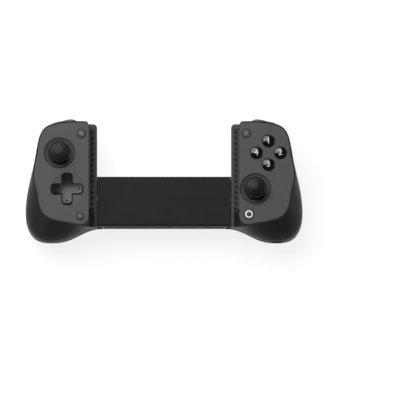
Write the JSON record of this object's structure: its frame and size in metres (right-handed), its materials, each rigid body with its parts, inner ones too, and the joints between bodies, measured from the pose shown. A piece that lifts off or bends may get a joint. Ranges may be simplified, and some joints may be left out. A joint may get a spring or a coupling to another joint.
{
  "type": "mobile game controller",
  "caption": "Telescoping game controller: two grips with sticks, keys and shoulder buttons slide apart on a flat bridge and clamp a phone between rubber-lined ledges.",
  "frame": {"origin": "under the middle of the controller, on the surface it lies on", "axes": "+X to the player's right, along the bridge; +Y towards the shoulder buttons; +Z out of the face plates"},
  "size_m": [0.2132, 0.0938, 0.0506],
  "materials": {
    "shell": "satin moulded ABS, fine spark texture",
    "plate": "satin painted ABS",
    "gloss_black": "polished black PC/ABS",
    "key_grey": "satin moulded ABS",
    "stick_rubber": "overmoulded thermoplastic rubber",
    "ring_plastic": "ribbed POM wear ring",
    "palm_rubber": "fine-textured thermoplastic rubber",
    "liner_rubber": "soft silicone rubber",
    "bridge_plastic": "satin glass-filled nylon",
    "bar_plastic": "dark acetal",
    "gear_plastic": "natural acetal",
    "steel": "zinc-plated steel",
    "board": "glass-epoxy circuit board",
    "silicone": "translucent silicone, taken as opaque",
    "cell": "foil pouch",
    "film": "polyimide film"
  },
  "bodies": {
    "bridge": {"bridge_front_cover": "bridge_plastic", "bridge_rear_cover": "bridge_plastic", "link_ribbon": "film", "left_return_spring": "steel", "right_return_spring": "steel"},
    "left_grip": {"left_front_shell": "shell", "left_rear_shell": "shell", "left_palm_pad": "palm_rubber", "left_face_plate": "plate", "left_plate_magnets": "steel", "left_liner": "liner_rubber", "left_stick_ring": "ring_plastic", "left_stick_module": "bar_plastic", "left_trigger_pin": "steel", "left_main_board": "board", "left_key_pad": "silicone", "left_screws": "steel", "left_slide_bar": "bar_plastic", "battery": "cell"},
    "right_grip": {"right_front_shell": "shell", "right_rear_shell": "shell", "right_palm_pad": "palm_rubber", "right_face_plate": "plate", "right_plate_magnets": "steel", "right_liner": "liner_rubber", "right_stick_ring": "ring_plastic", "right_stick_module": "bar_plastic", "right_trigger_pin": "steel", "right_main_board": "board", "right_key_pad": "silicone", "right_screws": "steel", "right_slide_bar": "bar_plastic", "usb_port": "steel", "usb_board": "board"},
    "sync_pinion": {"sync_pinion": "gear_plastic"},
    "left_stick_yoke": {"left_stick_yoke": "bar_plastic"},
    "left_stick_hub": {"left_stick_hub": "bar_plastic"},
    "left_stick_cap": {"left_stick_cap": "stick_rubber"},
    "left_bumper": {"left_bumper": "gloss_black"},
    "left_trigger": {"left_trigger": "gloss_black"},
    "right_stick_yoke": {"right_stick_yoke": "bar_plastic"},
    "right_stick_hub": {"right_stick_hub": "bar_plastic"},
    "right_stick_cap": {"right_stick_cap": "stick_rubber"},
    "right_bumper": {"right_bumper": "gloss_black"},
    "right_trigger": {"right_trigger": "gloss_black"},
    "dpad_pivot": {"dpad_pivot": "bar_plastic"},
    "dpad": {"dpad": "key_grey"},
    "view_button": {"view_button": "key_grey"},
    "capture_button": {"capture_button": "key_grey"},
    "menu_button": {"menu_button": "key_grey"},
    "home_button": {"home_button": "key_grey"},
    "face_button_1": {"face_button_1": "gloss_black"},
    "face_button_2": {"face_button_2": "gloss_black"},
    "face_button_3": {"face_button_3": "gloss_black"},
    "face_button_4": {"face_button_4": "gloss_black"}
  },
  "joints": [
    {"name": "left_grip_slide", "type": "slide", "parent": "bridge", "child": "left_grip", "axis": [-1, 0, 0], "range_m": [0, 0.051], "stiffness_N_per_m": 150, "springref_m": -0.053, "deforming": ["left_return_spring", "link_ribbon"]},
    {"name": "right_grip_slide", "type": "slide", "parent": "bridge", "child": "right_grip", "axis": [1, 0, 0], "range_m": [0, 0.051], "stiffness_N_per_m": 150, "springref_m": -0.053, "deforming": ["right_return_spring"]},
    {"name": "pinion_spin", "type": "hinge", "parent": "bridge", "child": "sync_pinion", "pos_m": [0, -0.016, 0.01935], "axis": [0, 0, 1], "range_deg": [0, 609]},
    {"name": "left_stick_tilt_x", "type": "hinge", "parent": "left_grip", "child": "left_stick_yoke", "pos_m": [-0.0805, 0.0197, 0.03], "axis": [1, 0, 0], "range_deg": [-17, 17], "stiffness_Nm_per_rad": 0.02},
    {"name": "left_stick_tilt_y", "type": "hinge", "parent": "left_stick_yoke", "child": "left_stick_hub", "pos_m": [-0.0805, 0.0197, 0.03], "axis": [0, 1, 0], "range_deg": [-17, 17], "stiffness_Nm_per_rad": 0.02},
    {"name": "left_stick_press", "type": "slide", "parent": "left_stick_hub", "child": "left_stick_cap", "axis": [0, 0, -1], "range_m": [0, 0.0005], "stiffness_N_per_m": 2000, "springref_m": -0.0005},
    {"name": "left_bumper_press", "type": "hinge", "parent": "left_grip", "child": "left_bumper", "pos_m": [-0.071, 0.0432, 0.0331], "axis": [0, 0, 1], "range_deg": [0, 2.5], "stiffness_Nm_per_rad": 0.5, "springref_deg": -1.15},
    {"name": "left_trigger_pull", "type": "hinge", "parent": "left_grip", "child": "left_trigger", "pos_m": [-0.0788, 0.038, 0.0257], "axis": [-1, 0, 0], "range_deg": [0, 14], "stiffness_Nm_per_rad": 0.05, "springref_deg": -17.19},
    {"name": "right_stick_tilt_x", "type": "hinge", "parent": "right_grip", "child": "right_stick_yoke", "pos_m": [0.0704, -0.0083, 0.03], "axis": [1, 0, 0], "range_deg": [-17, 17], "stiffness_Nm_per_rad": 0.02},
    {"name": "right_stick_tilt_y", "type": "hinge", "parent": "right_stick_yoke", "child": "right_stick_hub", "pos_m": [0.0704, -0.0083, 0.03], "axis": [0, 1, 0], "range_deg": [-17, 17], "stiffness_Nm_per_rad": 0.02},
    {"name": "right_stick_press", "type": "slide", "parent": "right_stick_hub", "child": "right_stick_cap", "axis": [0, 0, -1], "range_m": [0, 0.0005], "stiffness_N_per_m": 2000, "springref_m": -0.0005},
    {"name": "right_bumper_press", "type": "hinge", "parent": "right_grip", "child": "right_bumper", "pos_m": [0.071, 0.0432, 0.0331], "axis": [0, 0, -1], "range_deg": [0, 2.5], "stiffness_Nm_per_rad": 0.5, "springref_deg": -1.15},
    {"name": "right_trigger_pull", "type": "hinge", "parent": "right_grip", "child": "right_trigger", "pos_m": [0.0788, 0.038, 0.0257], "axis": [-1, 0, 0], "range_deg": [0, 14], "stiffness_Nm_per_rad": 0.05, "springref_deg": -17.19},
    {"name": "dpad_tilt_x", "type": "hinge", "parent": "left_grip", "child": "dpad_pivot", "pos_m": [-0.0748, -0.0084, 0.0344], "axis": [1, 0, 0], "range_deg": [-3.5, 3.5], "stiffness_Nm_per_rad": 0.03},
    {"name": "dpad_tilt_y", "type": "hinge", "parent": "dpad_pivot", "child": "dpad", "pos_m": [-0.0748, -0.0084, 0.0344], "axis": [0, 1, 0], "range_deg": [-3.5, 3.5], "stiffness_Nm_per_rad": 0.03},
    {"name": "view_button_press", "type": "slide", "parent": "left_grip", "child": "view_button", "axis": [0, 0, -1], "range_m": [0, 0.0006], "stiffness_N_per_m": 1500, "springref_m": -0.0004},
    {"name": "capture_button_press", "type": "slide", "parent": "left_grip", "child": "capture_button", "axis": [0, 0, -1], "range_m": [0, 0.0006], "stiffness_N_per_m": 1500, "springref_m": -0.0004},
    {"name": "menu_button_press", "type": "slide", "parent": "right_grip", "child": "menu_button", "axis": [0, 0, -1], "range_m": [0, 0.0006], "stiffness_N_per_m": 1500, "springref_m": -0.0004},
    {"name": "home_button_press", "type": "slide", "parent": "right_grip", "child": "home_button", "axis": [0, 0, -1], "range_m": [0, 0.0006], "stiffness_N_per_m": 1500, "springref_m": -0.0004},
    {"name": "face_button_1_press", "type": "slide", "parent": "right_grip", "child": "face_button_1", "axis": [0, 0, -1], "range_m": [0, 0.0012], "stiffness_N_per_m": 600, "springref_m": -0.0006},
    {"name": "face_button_2_press", "type": "slide", "parent": "right_grip", "child": "face_button_2", "axis": [0, 0, -1], "range_m": [0, 0.0012], "stiffness_N_per_m": 600, "springref_m": -0.0006},
    {"name": "face_button_3_press", "type": "slide", "parent": "right_grip", "child": "face_button_3", "axis": [0, 0, -1], "range_m": [0, 0.0012], "stiffness_N_per_m": 600, "springref_m": -0.0006},
    {"name": "face_button_4_press", "type": "slide", "parent": "right_grip", "child": "face_button_4", "axis": [0, 0, -1], "range_m": [0, 0.0012], "stiffness_N_per_m": 600, "springref_m": -0.0006}
  ],
  "couplings": [
    {"joint": "right_grip_slide", "follows": "left_grip_slide", "ratio": 1},
    {"joint": "pinion_spin", "follows": "left_grip_slide", "rad_per_m": 208.33}
  ]
}
